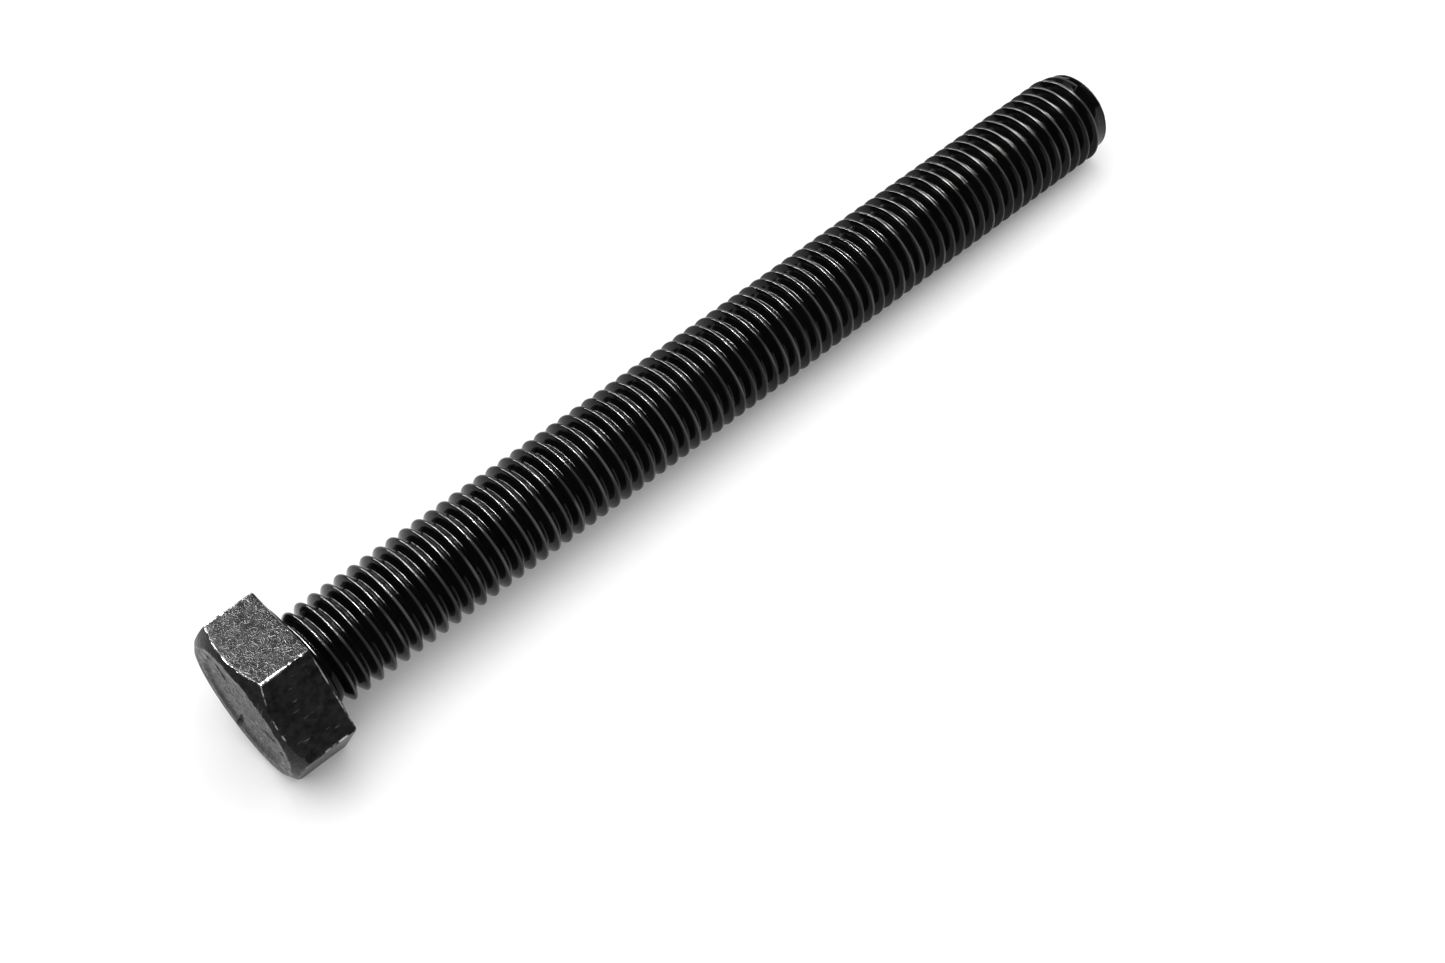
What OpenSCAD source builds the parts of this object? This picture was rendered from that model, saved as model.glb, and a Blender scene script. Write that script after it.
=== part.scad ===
// Fully threaded hex bolt (tap bolt), 5/8-11 UNC by 6-1/2 inch, black oxide steel.
// The bolt lies along X: head towards -X, point towards +X, bearing face on x = 0.
// Two of the six flats face up and down, so the head rests on the lower one.
// Millimetres. The four nodes are regions of one forged and rolled piece, and they
// meet face to face on planes across the axis.

/* [Head] */
// Width across two opposite flats (15/16 inch)
across_flats = 23.8; // [22:0.1:26]
// Height of the head, washer face included (25/64 inch, near its upper limit)
head_h = 10.1; // [8:0.1:12]
// Slope of the chamfer that rounds the six corners of the head's top
head_chamfer_angle = 34; // [15:1:40]
// Diameter of the circle where that chamfer meets the top face
top_circle_d = 21.9; // [20:0.1:23]
// Diameter of the washer face under the head
washer_face_d = 22.6; // [20:0.1:23.5]
// Thickness of the washer face
washer_face_h = 0.3; // [0.1:0.05:0.6]
// Diameter of the dish in the top face, at its rim
dish_rim_d = 18.6; // [16:0.1:20]
// Diameter of the dish's flat floor
dish_floor_d = 16.2; // [12:0.1:18]
// Depth of the dish
dish_depth = 0.4; // [0.2:0.05:0.8]

/* [Grade marks] */
// Number of radial grade grooves, evenly spaced round the top face
grade_marks = 3; // [3:1:6]
// Radius at which a groove starts
mark_inner_r = 4.8; // [3:0.1:6]
// Radius at which a groove ends
mark_outer_r = 9.9; // [7:0.1:10.4]
// Width of a groove
mark_w = 0.9; // [0.5:0.05:1.2]
// Depth of a groove below the dish's floor
mark_depth = 0.35; // [0.2:0.05:0.6]

/* [Thread] */
// Nominal major diameter (5/8 inch)
nominal_d = 15.875; // [14.3:0.005:16.5]
// Threads per inch
threads_per_inch = 11; // [10:1:12]
// Clearance that the thread's class takes off every diameter
class_allowance = 0.075; // [0:0.005:0.15]
// Length from the bearing face to the end of the point
length_under_head = 161.6; // [60:0.1:200]
// Angle round the axis, from the upper flat, at which the thread begins
thread_start_angle = 270; // [0:10:350]
// Straight facets in one turn of the thread
facets_per_turn = 18; // [12:1:18]

/* [Neck and point] */
// Length of plain neck between the bearing face and the first thread
neck_length = 1.0; // [1:0.1:4]
// Radius of the fillet between the bearing face and the neck
fillet_r = 0.9; // [0.5:0.1:0.9]
// Slope of the point, measured from the axis
point_angle = 40; // [25:1:50]
// Length of the plain end past the thread's run-out
point_length = 0.6; // [0.4:0.1:1.2]
// Diameter of the flat end face
end_face_d = 13; // [11:0.1:13.4]

/* [Hidden] */

inch = 25.4;
eps = 0.5;
fine = 96;
arc_steps = 8;
black_oxide = [0.10, 0.10, 0.11];
end_grey = [0.24, 0.24, 0.25];

// Unified thread form, from the pitch
pitch = inch / threads_per_inch;
flank_angle = 30;
crest_flat = pitch / 8;
thread_depth = 0.6134 * pitch;
major_r = (nominal_d - class_allowance) / 2;
root_r = major_r - thread_depth;
flank_run = thread_depth * tan(flank_angle);
root_flat = pitch - crest_flat - 2 * flank_run;
// One pitch of the form: [distance along the axis, radius]
FORM = [
    [0, root_r],
    [root_flat, root_r],
    [root_flat + flank_run, major_r],
    [root_flat + flank_run + crest_flat, major_r]
];

// The blank's diameter before rolling is close to the pitch diameter
neck_r = major_r - 0.35 * thread_depth;
neck_foot_r = neck_r + fillet_r;
thread_start = neck_length;
thread_end = length_under_head - point_length;
end_r = end_face_d / 2;
point_base_r = end_r + point_length * tan(point_angle);

// The helix starts and stops a little inside the discs that close the thread's ends
run_in_turns = 0.15;
run_out_turns = 0.3;
end_gap = 0.1;
helix_start = thread_start + end_gap;
helix_length = thread_end - helix_start - end_gap - (pitch - flank_run);
last_column = floor(helix_length / pitch * facets_per_turn);

corner_r = across_flats / sqrt(3);
chamfer_drop = (corner_r + eps - top_circle_d / 2) * tan(head_chamfer_angle);

// Turns a shape drawn up the Z axis so that it runs along +X
module along_x() {
    rotate([0, 90, 0]) children();
}

// Hexagonal bar from z = 0 up, with flats across the X axis before along_x()
module hex_bar(height) {
    rotate([0, 0, 30]) cylinder(h = height, r = corner_r, $fn = 6);
}

// Solid of revolution that trims the head's top corners, top face on z = 0
module head_chamfer_envelope() {
    cylinder(h = chamfer_drop, r1 = top_circle_d / 2, r2 = corner_r + eps, $fn = fine);
    translate([0, 0, chamfer_drop]) cylinder(h = head_h, r = corner_r + eps, $fn = fine);
}

// Shallow dish sunk in the top face
module dish() {
    cylinder(h = dish_depth, d1 = dish_rim_d, d2 = dish_floor_d, $fn = fine);
}

// One stamped radial groove, cut from above the top face
module grade_groove() {
    translate([mark_inner_r, -mark_w / 2, -eps])
        cube([mark_outer_r - mark_inner_r, mark_w, eps + dish_depth + mark_depth]);
}

// Hexagonal head, with a thin round washer face on its bearing side
module hex_head() {
    color(black_oxide) translate([-head_h, 0, 0]) along_x() {
        difference() {
            union() {
                intersection() {
                    hex_bar(head_h - washer_face_h);
                    head_chamfer_envelope();
                }
                translate([0, 0, head_h / 2])
                    cylinder(h = head_h / 2, d = washer_face_d, $fn = fine);
            }
            dish();
            // the neck's foot fills this, so the washer face is a ring round the neck
            translate([0, 0, head_h - washer_face_h])
                cylinder(h = washer_face_h + eps, r = neck_foot_r, $fn = fine);
            // the grooves point at alternate corners
            for (i = [0 : grade_marks - 1])
                rotate([0, 0, 90 + i * 360 / grade_marks]) grade_groove();
        }
    }
}

// Plain neck with a concave fillet that flares out to the bearing face
module neck() {
    fillet = [
        for (i = [0 : arc_steps])
            let (a = i * 90 / arc_steps)
                [neck_r + fillet_r * (1 - sin(a)), fillet_r * (1 - cos(a))]
    ];
    foot = [[0, -washer_face_h], [neck_foot_r, -washer_face_h]];
    color(black_oxide) along_x()
        rotate_extrude($fn = fine)
            polygon(concat(foot, fillet, [[neck_r, neck_length], [0, neck_length]]));
}

// Radius of the point's cone at a distance x from the bearing face
function cone_r(x) = point_base_r + (thread_end - x) * tan(point_angle);

// Share of the full thread height, a number of columns from where it fades over some turns
function fade(columns, turns) = min(1, columns / (turns * facets_per_turn));

// Point at a distance x along the axis and radius r, at the angle of column j
function around(x, r, j) =
    let (a = thread_start_angle + 360 * j / facets_per_turn)
        [x, -r * sin(a), r * cos(a)];

// Corner v of the thread form at column j of the helix
function thread_point(j, v) =
    let (
        x = helix_start + pitch * j / facets_per_turn + FORM[v][0],
        full_r = min(FORM[v][1], cone_r(x)),
        near_head = j < last_column / 2,
        base_r = near_head ? neck_r : point_base_r,
        share = near_head ? fade(j, run_in_turns) : fade(last_column - j, run_out_turns)
    )
    around(x, base_r + (full_r - base_r) * share, j);

// Index of a thread point, then of a point on the ring that closes either end
function at(j, v) = j * len(FORM) + v;
function head_ring(i) = at(last_column + 1, 0) + i % facets_per_turn;
function point_ring(i) = head_ring(0) + facets_per_turn + i % facets_per_turn;

// Two triangles between the edges a-b and c-d, where c follows a round the axis
function strip(a, b, c, d) = [[a, b, d], [a, d, c]];

// Right-hand helical thread with its core, closed by a flat disc at each end
module threaded_shank() {
    n = facets_per_turn;
    m = last_column;
    top = len(FORM) - 1;
    rows = [for (j = [0 : m], v = [0 : top]) thread_point(j, v)];
    head_end = [for (i = [0 : n - 1]) around(thread_start, neck_r, i)];
    point_end = [for (i = [0 : n - 1]) around(thread_end, point_base_r, m + i)];
    tooth = [
        for (j = [0 : m - 1], v = [0 : top - 1])
            each strip(at(j, v), at(j, v + 1), at(j + 1, v), at(j + 1, v + 1))
    ];
    next_turn = [
        for (j = [0 : m - n - 1])
            each strip(at(j, top), at(j + n, 0), at(j + 1, top), at(j + n + 1, 0))
    ];
    // the first and last turns meet their discs, with a fan where the form begins
    head_band = [
        for (i = [0 : n - 2])
            each strip(head_ring(i), at(i, 0), head_ring(i + 1), at(i + 1, 0))
    ];
    head_fan_edge = concat([head_ring(0)], [for (v = [0 : top]) at(0, v)], [at(n, 0)]);
    head_fan = [
        for (k = [0 : len(head_fan_edge) - 2])
            [at(n - 1, 0), head_fan_edge[k + 1], head_fan_edge[k]]
    ];
    point_band = [
        for (i = [1 : n - 1])
            let (j = m - n + i)
                each strip(at(j, top), point_ring(i), at(j + 1, top), point_ring(i + 1))
    ];
    point_fan_edge = concat([at(m - n, top)], [for (v = [0 : top]) at(m, v)],
                            [point_ring(0), point_ring(1)]);
    point_fan = [
        for (k = [0 : len(point_fan_edge) - 2])
            [point_fan_edge[k], point_fan_edge[k + 1], at(m - n + 1, top)]
    ];
    discs = [
        [for (i = [0 : n - 1]) head_ring(i)],
        [for (i = [0 : n - 1]) point_ring(n - 1 - i)]
    ];
    color(black_oxide)
        polyhedron(
            points = concat(rows, head_end, point_end),
            faces = concat(tooth, next_turn, head_band, head_fan,
                           [[head_ring(n - 1), at(n - 1, 0), head_ring(0)]],
                           point_band, point_fan, discs));
}

// Plain chamfered end with the flat, sheared end face
module point() {
    color(end_grey) translate([thread_end, 0, 0]) along_x()
        cylinder(h = point_length, r1 = point_base_r, r2 = end_r, $fn = fine);
}

hex_head();
neck();
threaded_shank();
point();
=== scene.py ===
"""The looks of a fully threaded hex bolt in black oxide steel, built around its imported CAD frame.

The bolt lies along X: head towards -X, point towards +X, bearing face on x = 0. Shapes are worked
out in millimetres and written to the meshes in metres. Where each region starts and ends comes
from the CAD nodes' boxes.
"""
import math

import bpy
import numpy as np
from mathutils import Matrix, Vector


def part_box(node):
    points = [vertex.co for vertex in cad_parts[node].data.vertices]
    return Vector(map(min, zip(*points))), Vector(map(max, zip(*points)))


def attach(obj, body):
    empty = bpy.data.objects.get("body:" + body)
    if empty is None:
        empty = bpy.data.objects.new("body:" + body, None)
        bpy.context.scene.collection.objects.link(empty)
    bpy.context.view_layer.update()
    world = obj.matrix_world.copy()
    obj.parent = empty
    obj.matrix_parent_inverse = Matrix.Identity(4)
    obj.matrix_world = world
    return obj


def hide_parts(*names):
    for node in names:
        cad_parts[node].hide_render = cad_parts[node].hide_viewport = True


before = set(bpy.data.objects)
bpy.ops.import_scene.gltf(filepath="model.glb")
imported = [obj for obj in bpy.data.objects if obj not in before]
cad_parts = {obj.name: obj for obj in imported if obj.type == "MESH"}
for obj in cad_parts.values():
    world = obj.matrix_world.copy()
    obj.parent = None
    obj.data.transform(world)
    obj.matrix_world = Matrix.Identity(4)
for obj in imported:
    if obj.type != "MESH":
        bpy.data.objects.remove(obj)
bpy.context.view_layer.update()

MM = 0.001
TAU = 2 * math.pi

# ---------------------------------------------------------------- sizes, in millimetres

head_low, head_high = (np.array(v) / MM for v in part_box("hex_head"))
neck_high = np.array(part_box("neck")[1]) / MM
thread_low, thread_high = (np.array(v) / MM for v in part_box("threaded_shank"))
point_high = np.array(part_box("point")[1]) / MM

ACROSS_FLATS = head_high[2] - head_low[2]
HEAD_H = -head_low[0]
NECK_FOOT_R = neck_high[2]
THREAD_START = thread_low[0]
THREAD_END = thread_high[0]
BOLT_END = point_high[0]

TOP_CIRCLE_R = 10.95
CHAMFER_ANGLE = math.radians(34)
WASHER_R = 11.3
WASHER_H = 0.3
DISH_RIM_R = 9.3
DISH_FLOOR_R = 8.1
DISH_DEPTH = 0.4
MARKS = 3
MARK_INNER_R = 4.8
MARK_OUTER_R = 9.9
MARK_HALF_W = 0.45
MARK_DEPTH = 0.35
RIDGE_R = 0.35
CHAMFER_EDGE_R = 0.28
FOOT_EDGE_R = 0.3
EDGE_STEPS = 6

PITCH = 25.4 / 11
MAJOR_R = 7.9
START_ANGLE = math.radians(270)
THREAD_DEPTH = 0.6134 * PITCH
ROOT_R = MAJOR_R - THREAD_DEPTH
FLANK_RUN = THREAD_DEPTH * math.tan(math.radians(30))
CREST_FLAT = PITCH * 0.16
ROOT_FLAT = PITCH - CREST_FLAT - 2 * FLANK_RUN
NECK_R = MAJOR_R - 0.35 * THREAD_DEPTH
FILLET_R = NECK_FOOT_R - NECK_R
END_FACE_R = 6.5
POINT_SLOPE = math.tan(math.radians(40))
POINT_BASE_R = END_FACE_R + (BOLT_END - THREAD_END) * POINT_SLOPE
THREAD_COLUMNS = 84


# ---------------------------------------------------------------- noise for the shapes

def value_noise(points, seed):
    """Smooth noise in -1..1 at an array of 3-D points, one cell per unit."""
    cell = np.floor(points).astype(np.int64)
    f = points - cell
    f = f * f * (3 - 2 * f)
    total = np.zeros(len(points))
    for corner in np.ndindex(2, 2, 2):
        c = cell + np.array(corner)
        h = (c[:, 0] * 73856093) ^ (c[:, 1] * 19349663) ^ (c[:, 2] * 83492791) ^ (seed * 2654435761)
        h = (h ^ (h >> 13)) * 1274126177
        v = ((h ^ (h >> 16)) & 0xFFFF) / 32767.5 - 1
        w = np.prod(np.where(np.array(corner), f, 1 - f), axis=1)
        total += v * w
    return total


def ridged(points, seed):
    """Thin winding ridges, near 1 on the ridge and falling to 0 away from it."""
    return np.clip(1 - np.abs(value_noise(points, seed)) * 4, 0, 1)


def smooth(edge0, edge1, v):
    """0 below edge0, 1 above edge1, with a smooth step between."""
    t = np.clip((v - edge0) / (edge1 - edge0), 0, 1)
    return t * t * (3 - 2 * t)


# ---------------------------------------------------------------- mesh helpers

def make_piece(name, points, faces, nodes, slot, materials, fields=None):
    """A smooth-shaded mesh piece, points in millimetres, that stands for CAD nodes."""
    mesh = bpy.data.meshes.new(name)
    mesh.from_pydata((np.asarray(points) * MM).tolist(), [], faces)
    mesh.validate()
    mesh.shade_smooth()
    for field, values in (fields or {}).items():
        layer = mesh.attributes.new(field, "FLOAT", "POINT")
        layer.data.foreach_set("value", np.asarray(values, dtype=np.float32))
    piece = bpy.data.objects.new(name, mesh)
    bpy.context.collection.objects.link(piece)
    for material in materials:
        mesh.materials.append(material)
    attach(piece, "root")
    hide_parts(*nodes)
    return piece


def ring_faces(rows, columns):
    """Outward quads between closed rings of points that follow the outline from its -X end."""
    faces = []
    for i in range(rows - 1):
        a, b = i * columns, (i + 1) * columns
        faces += [(a + j, a + (j + 1) % columns, b + (j + 1) % columns, b + j) for j in range(columns)]
    return faces


def around(x, r, angle):
    """Points at distances x along the axis and r from it; angle 0 is straight up."""
    x, r, angle = np.broadcast_arrays(x, r, angle)
    return np.stack([x, -r * np.sin(angle), r * np.cos(angle)], axis=-1)


def fillet(before, corner, after, radius, steps):
    """Points of the arc that rounds a corner between two straight lines, in any dimension."""
    u = (before - corner) / np.linalg.norm(before - corner)
    v = (after - corner) / np.linalg.norm(after - corner)
    half = math.acos(float(np.clip(u @ v, -1, 1))) / 2
    reach = radius / math.tan(half)
    centre = corner + (u + v) / np.linalg.norm(u + v) * radius / math.sin(half)
    start, end = corner + u * reach - centre, corner + v * reach - centre
    turn = math.pi - 2 * half
    return [centre + (math.sin((1 - t) * turn) * start + math.sin(t * turn) * end) / math.sin(turn)
            for t in np.linspace(0, 1, steps + 1)]


# ---------------------------------------------------------------- materials

def new_material(name):
    """An empty node material: (material, node maker, link maker, principled shader)."""
    material = bpy.data.materials.new(name)
    material.use_nodes = True
    tree = material.node_tree
    shader = tree.nodes["Principled BSDF"]

    def node(kind, **settings):
        made = tree.nodes.new(kind)
        for key, value in settings.items():
            setattr(made, key, value)
        return made

    return material, node, tree.links.new, shader


def noise(node, link, scale, detail=2.0, stretch=(1, 1, 1), rotate=(0, 0, 0)):
    """A noise texture in object space; scale is in cells per metre."""
    coords = node("ShaderNodeTexCoord")
    mapping = node("ShaderNodeMapping")
    mapping.inputs["Scale"].default_value = stretch
    mapping.inputs["Rotation"].default_value = rotate
    texture = node("ShaderNodeTexNoise")
    texture.inputs["Scale"].default_value = scale
    texture.inputs["Detail"].default_value = detail
    link(coords.outputs["Object"], mapping.inputs["Vector"])
    link(mapping.outputs["Vector"], texture.inputs["Vector"])
    return texture.outputs["Fac"]


def ramp(node, link, value, stops):
    """A colour ramp over a value; stops are (place, grey or colour)."""
    made = node("ShaderNodeValToRGB")
    elements = made.color_ramp.elements
    while len(elements) < len(stops):
        elements.new(0.5)
    for element, (place, colour) in zip(elements, stops):
        element.position = place
        element.color = (*colour, 1) if isinstance(colour, tuple) else (colour, colour, colour, 1)
    link(value, made.inputs["Fac"])
    return made.outputs["Color"]


def blend(node, link, share, a, b):
    """Mix of two colours or colour sockets by a share socket."""
    made = node("ShaderNodeMix", data_type="RGBA")
    link(share, made.inputs["Factor"])
    for socket, value in (("A", a), ("B", b)):
        target = [s for s in made.inputs if s.name == socket and s.type == "RGBA"][0]
        if isinstance(value, tuple):
            target.default_value = (*value, 1)
        else:
            link(value, target)
    return [s for s in made.outputs if s.type == "RGBA"][0]


def bump(node, link, height, distance, strength=1.0, normal=None):
    """A bump of a height socket, distance in metres."""
    made = node("ShaderNodeBump")
    made.inputs["Distance"].default_value = distance
    made.inputs["Strength"].default_value = strength
    link(height, made.inputs["Height"])
    if normal is not None:
        link(normal, made.inputs["Normal"])
    return made.outputs["Normal"]


def attribute(node, name):
    """The value of a mesh field."""
    return node("ShaderNodeAttribute", attribute_name=name).outputs["Fac"]


def worms(node, link, scale, width):
    """Thin winding lines, 1 along the line: where a warped noise crosses its middle value."""
    coords = node("ShaderNodeTexCoord")
    texture = node("ShaderNodeTexNoise")
    texture.inputs["Scale"].default_value = scale
    texture.inputs["Detail"].default_value = 1.0
    texture.inputs["Distortion"].default_value = 0.6
    link(coords.outputs["Object"], texture.inputs["Vector"])
    stops = [(0.5 - width, 0.0), (0.5, 1.0), (0.5 + width, 0.0)]
    return ramp(node, link, texture.outputs["Fac"], stops)


def head_material():
    """Satin black oxide with a crinkled forging skin, scratches and metal at the worn edges; the top face's
    lighter grey is a painted reflection.
    """
    material, node, link, shader = new_material("head_black_oxide")
    mottle = noise(node, link, 900, 6)
    patches = noise(node, link, 260, 3)
    scratches = noise(node, link, 420, 2, (1, 12, 1), (0.4, 0.3, 0.7))
    crinkle = worms(node, link, 620, 0.022)
    fine = worms(node, link, 1300, 0.035)
    dark = ramp(node, link, mottle, [(0.35, 0.004), (0.65, 0.011)])
    share = ramp(node, link, patches, [(0.4, 0.0), (0.7, 0.6)])
    base = blend(node, link, share, dark, (0.014, 0.014, 0.015))
    lines = ramp(node, link, scratches, [(0.68, 0.0), (0.72, 1.0)])
    base = blend(node, link, lines, base, (0.05, 0.05, 0.052))
    # painted reflection: the top face is made lighter grey in colour, standing in for its reflection of the
    # pale floor
    face_sheen_grey = ramp(node, link, mottle, [(0.3, 0.040), (0.7, 0.065)])
    base = blend(node, link, attribute(node, "face"), base, face_sheen_grey)
    wear = attribute(node, "wear")
    link(blend(node, link, wear, base, (0.50, 0.48, 0.46)), shader.inputs["Base Color"])
    link(wear, shader.inputs["Metallic"])
    link(ramp(node, link, mottle, [(0.3, 0.21), (0.7, 0.31)]), shader.inputs["Roughness"])
    shader.inputs["IOR"].default_value = 1.14
    normal = bump(node, link, mottle, 0.00008, 0.5)
    normal = bump(node, link, crinkle, 0.00006, 0.35, normal)
    normal = bump(node, link, fine, 0.00003, 0.3, normal)
    normal = bump(node, link, lines, 0.00003, 0.5, normal)
    link(normal, shader.inputs["Normal"])
    return material


def shank_material():
    """Oiled black oxide on a rolled thread: near black and glossy; the grey along the crests is partly
    burnishing and partly painted highlight lines.
    """
    material, node, link, shader = new_material("shank_black_oxide")
    fine = noise(node, link, 1400, 4)
    broad = noise(node, link, 170, 3)
    base = ramp(node, link, broad, [(0.3, 0.0015), (0.7, 0.003)])
    burnish_and_sheen = attribute(node, "burnish_and_sheen")
    # painted highlight: the grey on the crests stands partly for burnished metal and partly for highlight
    # lines along the crests
    link(blend(node, link, burnish_and_sheen, base, (0.050, 0.050, 0.051)), shader.inputs["Base Color"])
    link(ramp(node, link, fine, [(0.3, 0.10), (0.7, 0.16)]), shader.inputs["Roughness"])
    shader.inputs["IOR"].default_value = 1.2
    link(bump(node, link, fine, 0.00001, 0.3), shader.inputs["Normal"])
    return material


def point_material():
    """Matt grey oxide over the sheared end."""
    material, node, link, shader = new_material("point_grey")
    grain = noise(node, link, 1600, 5)
    patches = noise(node, link, 350, 3)
    dark = ramp(node, link, grain, [(0.3, 0.035), (0.7, 0.075)])
    share = ramp(node, link, patches, [(0.4, 0.0), (0.65, 0.7)])
    colour = blend(node, link, share, dark, (0.10, 0.10, 0.10))
    wear = attribute(node, "wear")
    link(blend(node, link, wear, colour, (0.30, 0.29, 0.28)), shader.inputs["Base Color"])
    link(ramp(node, link, grain, [(0.3, 0.42), (0.7, 0.60)]), shader.inputs["Roughness"])
    shader.inputs["IOR"].default_value = 1.7
    link(bump(node, link, grain, 0.00006, 0.8), shader.inputs["Normal"])
    return material


# ---------------------------------------------------------------- hex head

def hexagon_r(angle, flats, rounding):
    """Distance from the axis to a hexagon with rounded corners; corners lie on the Y axis."""
    off = np.abs((angle - math.pi / 2 + math.pi / 6) % (math.pi / 3) - math.pi / 6)
    flat = flats / 2 / np.cos(math.pi / 6 - off)
    centre = (flats / 2 - rounding) / math.cos(math.pi / 6)
    inside = rounding ** 2 - (centre * np.sin(off)) ** 2
    arc = centre * np.cos(off) + np.sqrt(np.maximum(inside, 0))
    on_arc = off < math.atan2(rounding * 0.5, centre + rounding * math.cos(math.pi / 6))
    return np.where(on_arc, arc, flat)


def sector_angles(per_sector, crowding=0.9):
    """Angles round the axis, crowded towards the six corners."""
    f = np.arange(per_sector) / per_sector
    f = f - np.sin(TAU * f) / TAU * crowding
    return np.concatenate([(k + f) * TAU / 6 + math.pi / 2 for k in range(6)])


def top_relief(r, angle):
    """How far the forged top face lies below its rim: dish, grade grooves and forging texture."""
    y, z = -r * np.sin(angle), r * np.cos(angle)
    flat = np.stack([y, z, np.zeros_like(y)], axis=-1)
    depth = DISH_DEPTH * (1 - smooth(DISH_FLOOR_R, DISH_RIM_R, r + 0.12 * value_noise(flat * 0.9, 3)))
    for k in range(MARKS):
        way = math.pi / 2 + k * TAU / MARKS
        along = r * np.cos(angle - way)
        across = np.abs(r * np.sin(angle - way))
        groove = 1 - smooth(MARK_HALF_W - 0.09, MARK_HALF_W + 0.01, across)
        groove *= smooth(MARK_INNER_R - 0.05, MARK_INNER_R + 0.1, along)
        groove *= 1 - smooth(MARK_OUTER_R - 0.2, MARK_OUTER_R + 0.05, along)
        sunk = depth + groove * (DISH_DEPTH + MARK_DEPTH - np.minimum(depth, 0.3))
        depth = np.where(along > 0, sunk, depth)
    bent = flat + 0.35 * np.stack([value_noise(flat * 0.8, s) for s in (14, 15, 16)], axis=-1)
    crinkle = ridged(bent * 1.1, 11) + 0.7 * ridged(bent * 1.7 + 7.3, 12)
    lumps = value_noise(flat * 1.4, 13)
    inside = 1 - smooth(TOP_CIRCLE_R - 0.5, TOP_CIRCLE_R, r)
    return np.maximum(depth + inside * (0.05 - 0.05 * crinkle + 0.04 * lumps), 0)


def chamfer_x(r):
    """Where the chamfer's cone is along the axis, at a radius."""
    return -HEAD_H + (r - TOP_CIRCLE_R) * math.tan(CHAMFER_ANGLE)


def chamfer_reach():
    """How far the rounded edge runs down the side from the corner of cone and side."""
    return CHAMFER_EDGE_R * math.tan((math.pi / 2 - CHAMFER_ANGLE) / 2)


def top_rings(angles):
    """Rings (x, r, worn) of the top face, from its centre to the top circle."""
    for r in np.concatenate([np.linspace(0.02, 4.6, 40), np.linspace(4.7, TOP_CIRCLE_R, 90)]):
        full = np.full(len(angles), r)
        yield -HEAD_H + top_relief(full, angles), full, 0.0


def chamfer_rings(side_r):
    """Rings of the chamfer's cone out to the side, then of the rounded edge."""
    bend = math.pi / 2 - CHAMFER_ANGLE
    reach = chamfer_reach()
    cone_end = side_r - reach * math.cos(CHAMFER_ANGLE)
    for t in np.linspace(0.04, 1, 16):
        r = TOP_CIRCLE_R + (cone_end - TOP_CIRCLE_R) * t
        yield chamfer_x(r), r, 0.0
    for i in range(1, EDGE_STEPS + 1):
        away = bend * (1 - i / EDGE_STEPS)
        x = chamfer_x(side_r) + reach - CHAMFER_EDGE_R * math.sin(away)
        r = side_r - CHAMFER_EDGE_R * (1 - math.cos(away))
        yield x, r, 0.8 * math.sin(math.pi * i / EDGE_STEPS)


def side_rings(side_r):
    """Rings down the six sides, then round the edge of the underside."""
    start = chamfer_x(side_r) + chamfer_reach()
    end = -WASHER_H - FOOT_EDGE_R
    for t in np.linspace(0, 1, 52)[1:]:
        yield start + (end - start) * t, side_r, 0.0
    for i in range(1, EDGE_STEPS + 1):
        turn = math.pi / 2 * i / EDGE_STEPS
        r = side_r - FOOT_EDGE_R * (1 - math.cos(turn))
        yield end + FOOT_EDGE_R * math.sin(turn), r, 0.6 * math.sin(math.pi * i / EDGE_STEPS)


def underside_rings(side_r):
    """Rings of the underside, the washer face and the recess that the neck's foot fills."""
    start = side_r - FOOT_EDGE_R
    for t in np.linspace(0, 1, 9)[1:]:
        yield -WASHER_H, start + (WASHER_R + 0.12 - start) * t, 0.0
    yield -WASHER_H + 0.06, WASHER_R + 0.03, 0.0
    yield -0.06, WASHER_R, 0.0
    yield 0.0, WASHER_R - 0.08, 0.0
    for r in np.linspace(WASHER_R - 0.3, NECK_FOOT_R, 10):
        yield 0.0, r, 0.0
    yield -WASHER_H, NECK_FOOT_R, 0.0


def ridge_wear(points, angles, side_r):
    """Wear along the six ridges between the sides."""
    rows = len(points) // len(angles)
    off = np.abs((angles - math.pi / 2 + math.pi / 6) % (math.pi / 3) - math.pi / 6)
    near_ridge = np.tile(1 - smooth(0.010, 0.020, off), rows)
    below_chamfer = points[:, 0] > np.tile(chamfer_x(side_r), rows) - 0.1
    return 0.9 * near_ridge * (below_chamfer & (points[:, 0] < -WASHER_H))


def head_dents(points, worn):
    """How far each point moves in: dents along worn edges, and a forged and tumbled unevenness."""
    dents = np.clip(value_noise(points * 1.1, 21) - 0.25, 0, 1) * 0.22
    lumps = 0.02 * value_noise(points * 0.45, 22) + 0.008 * value_noise(points * 1.6, 23)
    away = points.copy()
    away[:, 0] = 0
    away /= np.maximum(np.linalg.norm(away, axis=1, keepdims=True), 1e-6)
    edge = smooth(0.15, 0.7, worn)
    outer = smooth(TOP_CIRCLE_R, TOP_CIRCLE_R + 0.6, np.linalg.norm(points[:, 1:], axis=1))
    free = np.where(points[:, 0] > -WASHER_H - 0.05, 0, 1)
    return away * ((dents * edge + np.abs(lumps) * outer) * free)[:, None]


def head_fields(points, worn):
    """The mesh fields: patchy wear with a worn top circle, and the share of the top face that gets a
    painted reflection in grey.
    """
    patchy = smooth(-0.25, 0.45, value_noise(points * 0.8, 24) + 0.5 * value_noise(points * 3.1, 25))
    radius = np.linalg.norm(points[:, 1:], axis=1)
    rim = np.exp(-((radius - TOP_CIRCLE_R) / 0.14) ** 2)
    worn = np.maximum(worn * patchy, 0.3 * rim * patchy)
    face = 1 - smooth(TOP_CIRCLE_R - 0.2, TOP_CIRCLE_R + 0.2, radius)
    face = face * (points[:, 0] < -HEAD_H + 2)
    return {"wear": np.append(worn, [0, 0]), "face": np.append(face, [1, 0])}


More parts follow.
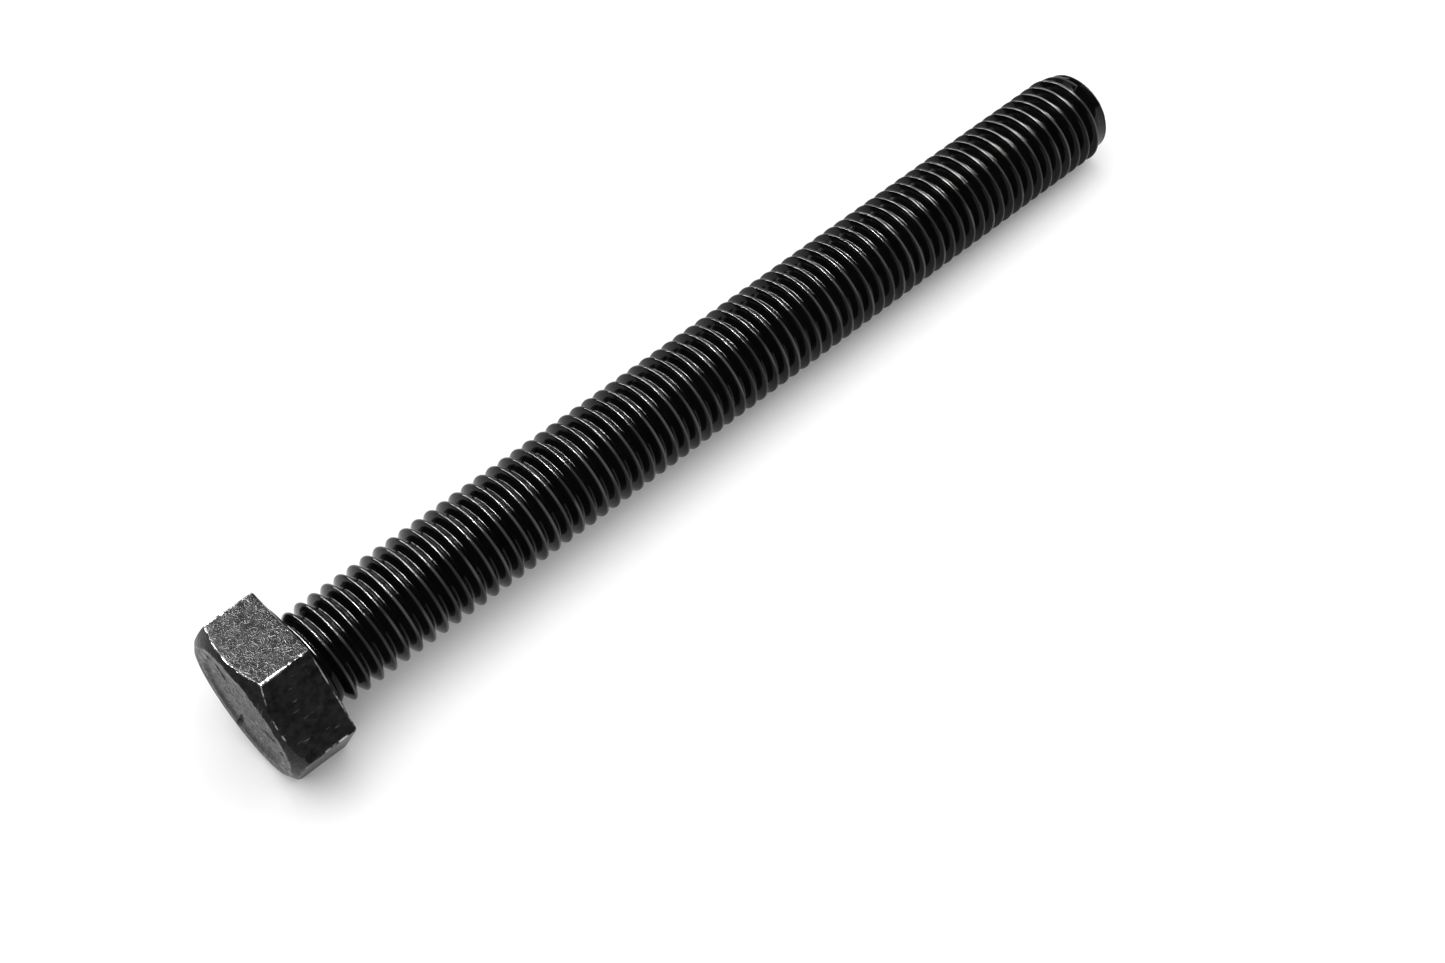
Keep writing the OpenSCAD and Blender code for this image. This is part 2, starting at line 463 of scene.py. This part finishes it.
def build_head(material):
    """The head as one closed skin over rings that run from the top's centre to the neck's foot."""
    angles = sector_angles(100)
    n = len(angles)
    side_r = hexagon_r(angles, ACROSS_FLATS, RIDGE_R)
    rings = [*top_rings(angles), *chamfer_rings(side_r), *side_rings(side_r), *underside_rings(side_r)]
    points = np.concatenate([around(x, np.broadcast_to(r, n), angles) for x, r, _ in rings])
    worn = np.concatenate([np.full(n, w) for _, _, w in rings])
    worn = np.maximum(worn, ridge_wear(points, angles, side_r))
    points = points - head_dents(points, worn)
    fields = head_fields(points, worn)

    faces = ring_faces(len(rings), n)
    centre, last = len(points), (len(rings) - 1) * n
    points = np.vstack([points, [[-HEAD_H + DISH_DEPTH, 0, 0], [-WASHER_H, 0, 0]]])
    faces += [(centre, (j + 1) % n, j) for j in range(n)]
    faces += [(centre + 1, last + j, last + (j + 1) % n) for j in range(n)]
    return make_piece("hex_head_skin", points, faces, ["hex_head"], "head_black_oxide", [material], fields)


# ---------------------------------------------------------------- neck and point

def build_turned(name, outline, node_name, slot, material, texture=None):
    """A closed turned solid from its outline of (x, r), axis to axis."""
    columns = 192
    angles = np.arange(columns) / columns * TAU
    rings = [around(x, r, angles) for x, r in outline[1:-1]]
    points = np.concatenate(rings)
    worn = np.zeros(len(points))
    if texture:
        points, worn = texture(points)
    faces = ring_faces(len(rings), columns)
    first, last = len(points), (len(rings) - 1) * columns
    points = np.vstack([points, [[outline[0][0], 0, 0], [outline[-1][0], 0, 0]]])
    faces += [(first, (j + 1) % columns, j) for j in range(columns)]
    faces += [(first + 1, last + j, last + (j + 1) % columns) for j in range(columns)]
    fields = {"wear": np.append(worn, [0, 0])}
    return make_piece(name, points, faces, [node_name], slot, [material], fields)


def build_neck(material):
    """Plain neck with the fillet that flares out to the bearing face."""
    outline = [(-WASHER_H, 0), (-WASHER_H, NECK_FOOT_R * 0.5)]
    outline += [(-WASHER_H, NECK_FOOT_R - 0.02), (-0.02, NECK_FOOT_R)]
    for t in np.linspace(0, math.pi / 2, 14):
        outline.append((FILLET_R * (1 - math.cos(t)), NECK_R + FILLET_R * (1 - math.sin(t))))
    outline += [(THREAD_START, NECK_R), (THREAD_START, NECK_R * 0.5), (THREAD_START, 0)]
    return build_turned("neck_skin", outline, "neck", "shank_black_oxide", material)


def sheared_end(points):
    """The end face's slight unevenness, with a ragged burr along its edge."""
    radius = np.linalg.norm(points[:, 1:], axis=1)
    on_end = smooth(BOLT_END - 0.25, BOLT_END - 0.1, points[:, 0])
    rough = 0.05 * value_noise(points * 1.1, 31) + 0.03 * value_noise(points * 2.7, 32)
    edge = np.exp(-((radius - END_FACE_R) / 0.2) ** 2)
    points[:, 0] -= on_end * (np.abs(rough) + edge * 0.05 * (1 + value_noise(points * 1.7, 33)))
    worn = edge * on_end * smooth(-0.1, 0.5, value_noise(points * 1.9, 34))
    return points, worn


def build_point(material):
    """Plain chamfered end, its rounded edge and the flat sheared face."""
    rounding = 0.25
    start = np.array([THREAD_END, POINT_BASE_R])
    corner = np.array([BOLT_END, END_FACE_R])
    outline = [(THREAD_END, 0), (THREAD_END, POINT_BASE_R * 0.5), (THREAD_END, POINT_BASE_R)]
    outline += [tuple(p) for p in fillet(start, corner, np.array([BOLT_END, 0]), rounding, 8)]
    outline += [(BOLT_END, r) for r in np.linspace(END_FACE_R - 0.4, 0.1, 48)]
    outline.append((BOLT_END, 0))
    return build_turned("point_skin", outline, "point", "point_grey", material, texture=sheared_end)


# ---------------------------------------------------------------- thread

def thread_form():
    """One pitch of the rolled form, rounded at root and crest: distances along the axis, and radii."""
    corners = [(0, ROOT_R), (ROOT_FLAT, ROOT_R), (ROOT_FLAT + FLANK_RUN, MAJOR_R),
               (ROOT_FLAT + FLANK_RUN + CREST_FLAT, MAJOR_R), (PITCH, ROOT_R), (PITCH + ROOT_FLAT, ROOT_R)]
    corners = [np.array(c, dtype=float) for c in corners]
    form = []
    for i, radius in ((1, 0.14), (2, 0.3), (3, 0.3), (4, 0.14)):
        if i in (2, 4):
            form.append((form[-1] + (corners[i] - form[-1]) * 0.45))
        form += fillet(corners[i - 1], corners[i], corners[i + 1], radius, 4)
    form = np.array(form)
    return form[:, 0] - ROOT_FLAT / 2, form[:, 1]


def thread_grid():
    """The helix before its marks: x, r and angle for each column, one row for each form point."""
    form_x, form_r = thread_form()
    gap = 0.08
    first_x = THREAD_START + gap - form_x[0]
    columns = int((THREAD_END - gap - form_x[-1] - first_x) / PITCH * THREAD_COLUMNS)
    j = np.arange(columns + 1)[:, None]
    angle = START_ANGLE + j / THREAD_COLUMNS * TAU
    x = first_x + PITCH * j / THREAD_COLUMNS + form_x[None, :]
    cone = POINT_BASE_R + (THREAD_END - x) * POINT_SLOPE
    full = np.minimum(form_r[None, :], cone)
    run_in = NECK_R + (full - NECK_R) * np.clip(j / (0.16 * THREAD_COLUMNS), 0, 1)
    run_out = POINT_BASE_R + (full - POINT_BASE_R) * np.clip((columns - j) / (0.3 * THREAD_COLUMNS), 0, 1)
    return x, np.where(j < columns / 2, run_in, run_out), angle, form_r


def handling_marks(place, r):
    """Depth of the marks on the crests: flattened a little here and there, with sharper nicks."""
    height = smooth(MAJOR_R - 0.35, MAJOR_R, r)
    soft = np.clip(value_noise(place, 41).reshape(r.shape) - 0.1, 0, 1) * 0.008
    close = place * np.array([3.0, 5.0, 1])
    nick = np.clip(value_noise(close, 42).reshape(r.shape) - 0.84, 0, 1) * 0.25
    return height * (soft + nick)


def burnish_and_sheen_field(place, form_r, shape):
    """Share of crest painted grey at each point, in streaks round the helix: partly burnishing, partly
    painted highlight lines.
    """
    burnish_and_sheen = smooth(MAJOR_R - 0.10, MAJOR_R - 0.02, form_r)[None, :] * np.ones(shape)
    streak = smooth(-0.2, 0.5, value_noise(place * np.array([1.0, 0.7, 1]), 43).reshape(shape))
    return (burnish_and_sheen * (0.35 + 0.65 * streak)).reshape(-1)


def thread_faces(m, rows):
    """Outward faces over columns 0 to m of the helix, closed by a ring and a disc at each end."""
    n, top = THREAD_COLUMNS, rows - 1
    base = (m + 1) * rows

    def at(column, row):
        return column * rows + row

    def near(i):
        return base + i % n

    def far(i):
        return base + n + i % n

    faces = [(at(c, v), at(c + 1, v), at(c + 1, v + 1), at(c, v + 1)) for c in range(m) for v in range(top)]
    faces += [(at(c, top), at(c + 1, top), at(c + n + 1, 0), at(c + n, 0)) for c in range(m - n)]
    faces += [(near(i), near(i + 1), at(i + 1, 0), at(i, 0)) for i in range(n - 1)]
    fan = [near(0)] + [at(0, v) for v in range(rows)] + [at(n, 0)]
    faces += [(at(n - 1, 0), a, b) for a, b in zip(fan, fan[1:])] + [(near(n - 1), near(0), at(n - 1, 0))]
    faces += [(at(m - n + i, top), at(m - n + i + 1, top), far(i + 1), far(i)) for i in range(1, n)]
    fan = [at(m - n, top)] + [at(m, v) for v in range(rows)] + [far(0), far(1)]
    faces += [(b, a, at(m - n + 1, top)) for a, b in zip(fan, fan[1:])]
    faces.append(tuple(near(n - 1 - i) for i in range(n)))
    faces.append(tuple(far(i) for i in range(n)))
    return faces


def build_thread(material):
    """The right-hand helix with its core. Columns follow the helix, rows follow the form."""
    x, r, angle, form_r = thread_grid()
    place = np.stack(np.broadcast_arrays(x * 0.35, angle * 2.2, 0 * x), axis=-1).reshape(-1, 3)
    r = r - handling_marks(place, r)
    ring = np.arange(THREAD_COLUMNS) / THREAD_COLUMNS * TAU
    head_ring = around(THREAD_START, NECK_R, ring + START_ANGLE)
    point_ring = around(THREAD_END, POINT_BASE_R, ring + angle[-1])
    points = np.vstack([around(x, r, angle).reshape(-1, 3), head_ring, point_ring])
    burnish_and_sheen = np.concatenate([burnish_and_sheen_field(place, form_r, x.shape), np.zeros(2 * THREAD_COLUMNS)])
    faces = thread_faces(len(x) - 1, len(form_r))
    slot, fields = "shank_black_oxide", {"burnish_and_sheen": burnish_and_sheen}
    return make_piece("thread_skin", points, faces, ["threaded_shank"], slot, [material], fields)


# ---------------------------------------------------------------- floor, light and camera

def build_floor():
    """A wide pale floor, sloped to pass just under the head's lower edge and the last crests."""
    run = THREAD_END + WASHER_H
    slope = (ACROSS_FLATS / 2 - MAJOR_R) / run
    size = 3000
    corners = [(-size, -size), (size, -size), (size, size), (-size, size)]
    base = -ACROSS_FLATS / 2 + WASHER_H * slope
    points = [(x, y, base + x * slope - 0.02) for x, y in corners]
    mesh = bpy.data.meshes.new("floor")
    mesh.from_pydata((np.array(points) * MM).tolist(), [], [(0, 1, 2, 3)])
    floor = bpy.data.objects.new("floor", mesh)
    bpy.context.collection.objects.link(floor)
    material, _, _, shader = new_material("pale_floor")
    shader.inputs["Base Color"].default_value = (0.93, 0.93, 0.93, 1)
    shader.inputs["Roughness"].default_value = 0.9
    shader.inputs["Specular IOR Level"].default_value = 0.0
    mesh.materials.append(material)


def softbox(name, place, target, size, watts, diffuse=True, glossy=True):
    """A rectangular area light aimed at a point, its second side along Y, in metres and watts."""
    data = bpy.data.lights.new(name, "AREA")
    data.shape = "RECTANGLE"
    data.size, data.size_y = size
    data.energy = watts
    back = (Vector(place) - Vector(target)).normalized()
    side = Vector((0, 1, 0)).cross(back).normalized()
    axes = Matrix((side, back.cross(side), back)).transposed()
    light = bpy.data.objects.new(name, data)
    light.matrix_world = Matrix.Translation(place) @ axes.to_4x4()
    light.visible_diffuse = diffuse
    light.visible_glossy = glossy
    bpy.context.collection.objects.link(light)


def build_lights():
    """A pale room and a broad softbox light the scene; the other four show only in reflections."""
    middle = (0.08, 0, 0)
    softbox("overhead", (0.08, -0.12, 1.1), middle, (1.5, 1.5), 9.0, glossy=False)
    softbox("rear", (0.50, 0.62, 0.95), middle, (0.5, 0.5), 0.9, diffuse=False)
    softbox("strip", (-0.08, 0.20, 0.8), middle, (0.12, 1.3), 120.0, diffuse=False)
    softbox("rear_strip", (-0.08, 0.85, 0.5), middle, (0.12, 0.6), 23.0, diffuse=False)
    softbox("key", (-0.08, 0.05, 0.8), middle, (0.12, 0.3), 63.0, diffuse=False)
    world = bpy.data.worlds.new("studio")
    bpy.context.scene.world = world
    world.use_nodes = True
    background = world.node_tree.nodes["Background"]
    background.inputs["Color"].default_value = (1, 1, 1, 1)
    background.inputs["Strength"].default_value = 0.85
    world.cycles_visibility.glossy = False
    bpy.context.scene.view_settings.view_transform = "Standard"


def build_camera():
    """Looks down on the bolt from the head's side, a little rolled, as the photographer did."""
    data = bpy.data.cameras.new("camera")
    data.sensor_width = 36
    data.lens = 51.2
    camera = bpy.data.objects.new("camera", data)
    place = Vector((-0.0539, -0.1708, 0.2335))
    forward = Vector((0.3888, 0.5064, -0.7697)).normalized()
    right = Vector((0.7368, -0.6725, -0.0703))
    right = (right - forward * right.dot(forward)).normalized()
    up = right.cross(forward)
    axes = Matrix((right, up, -forward)).transposed()
    camera.matrix_world = Matrix.Translation(place) @ axes.to_4x4()
    data.clip_start = 0.01
    bpy.context.collection.objects.link(camera)
    bpy.context.scene.camera = camera


build_camera()
build_floor()
build_lights()
head_look = head_material()
shank_look = shank_material()
point_look = point_material()
build_head(head_look)
build_neck(shank_look)
build_thread(shank_look)
build_point(point_look)
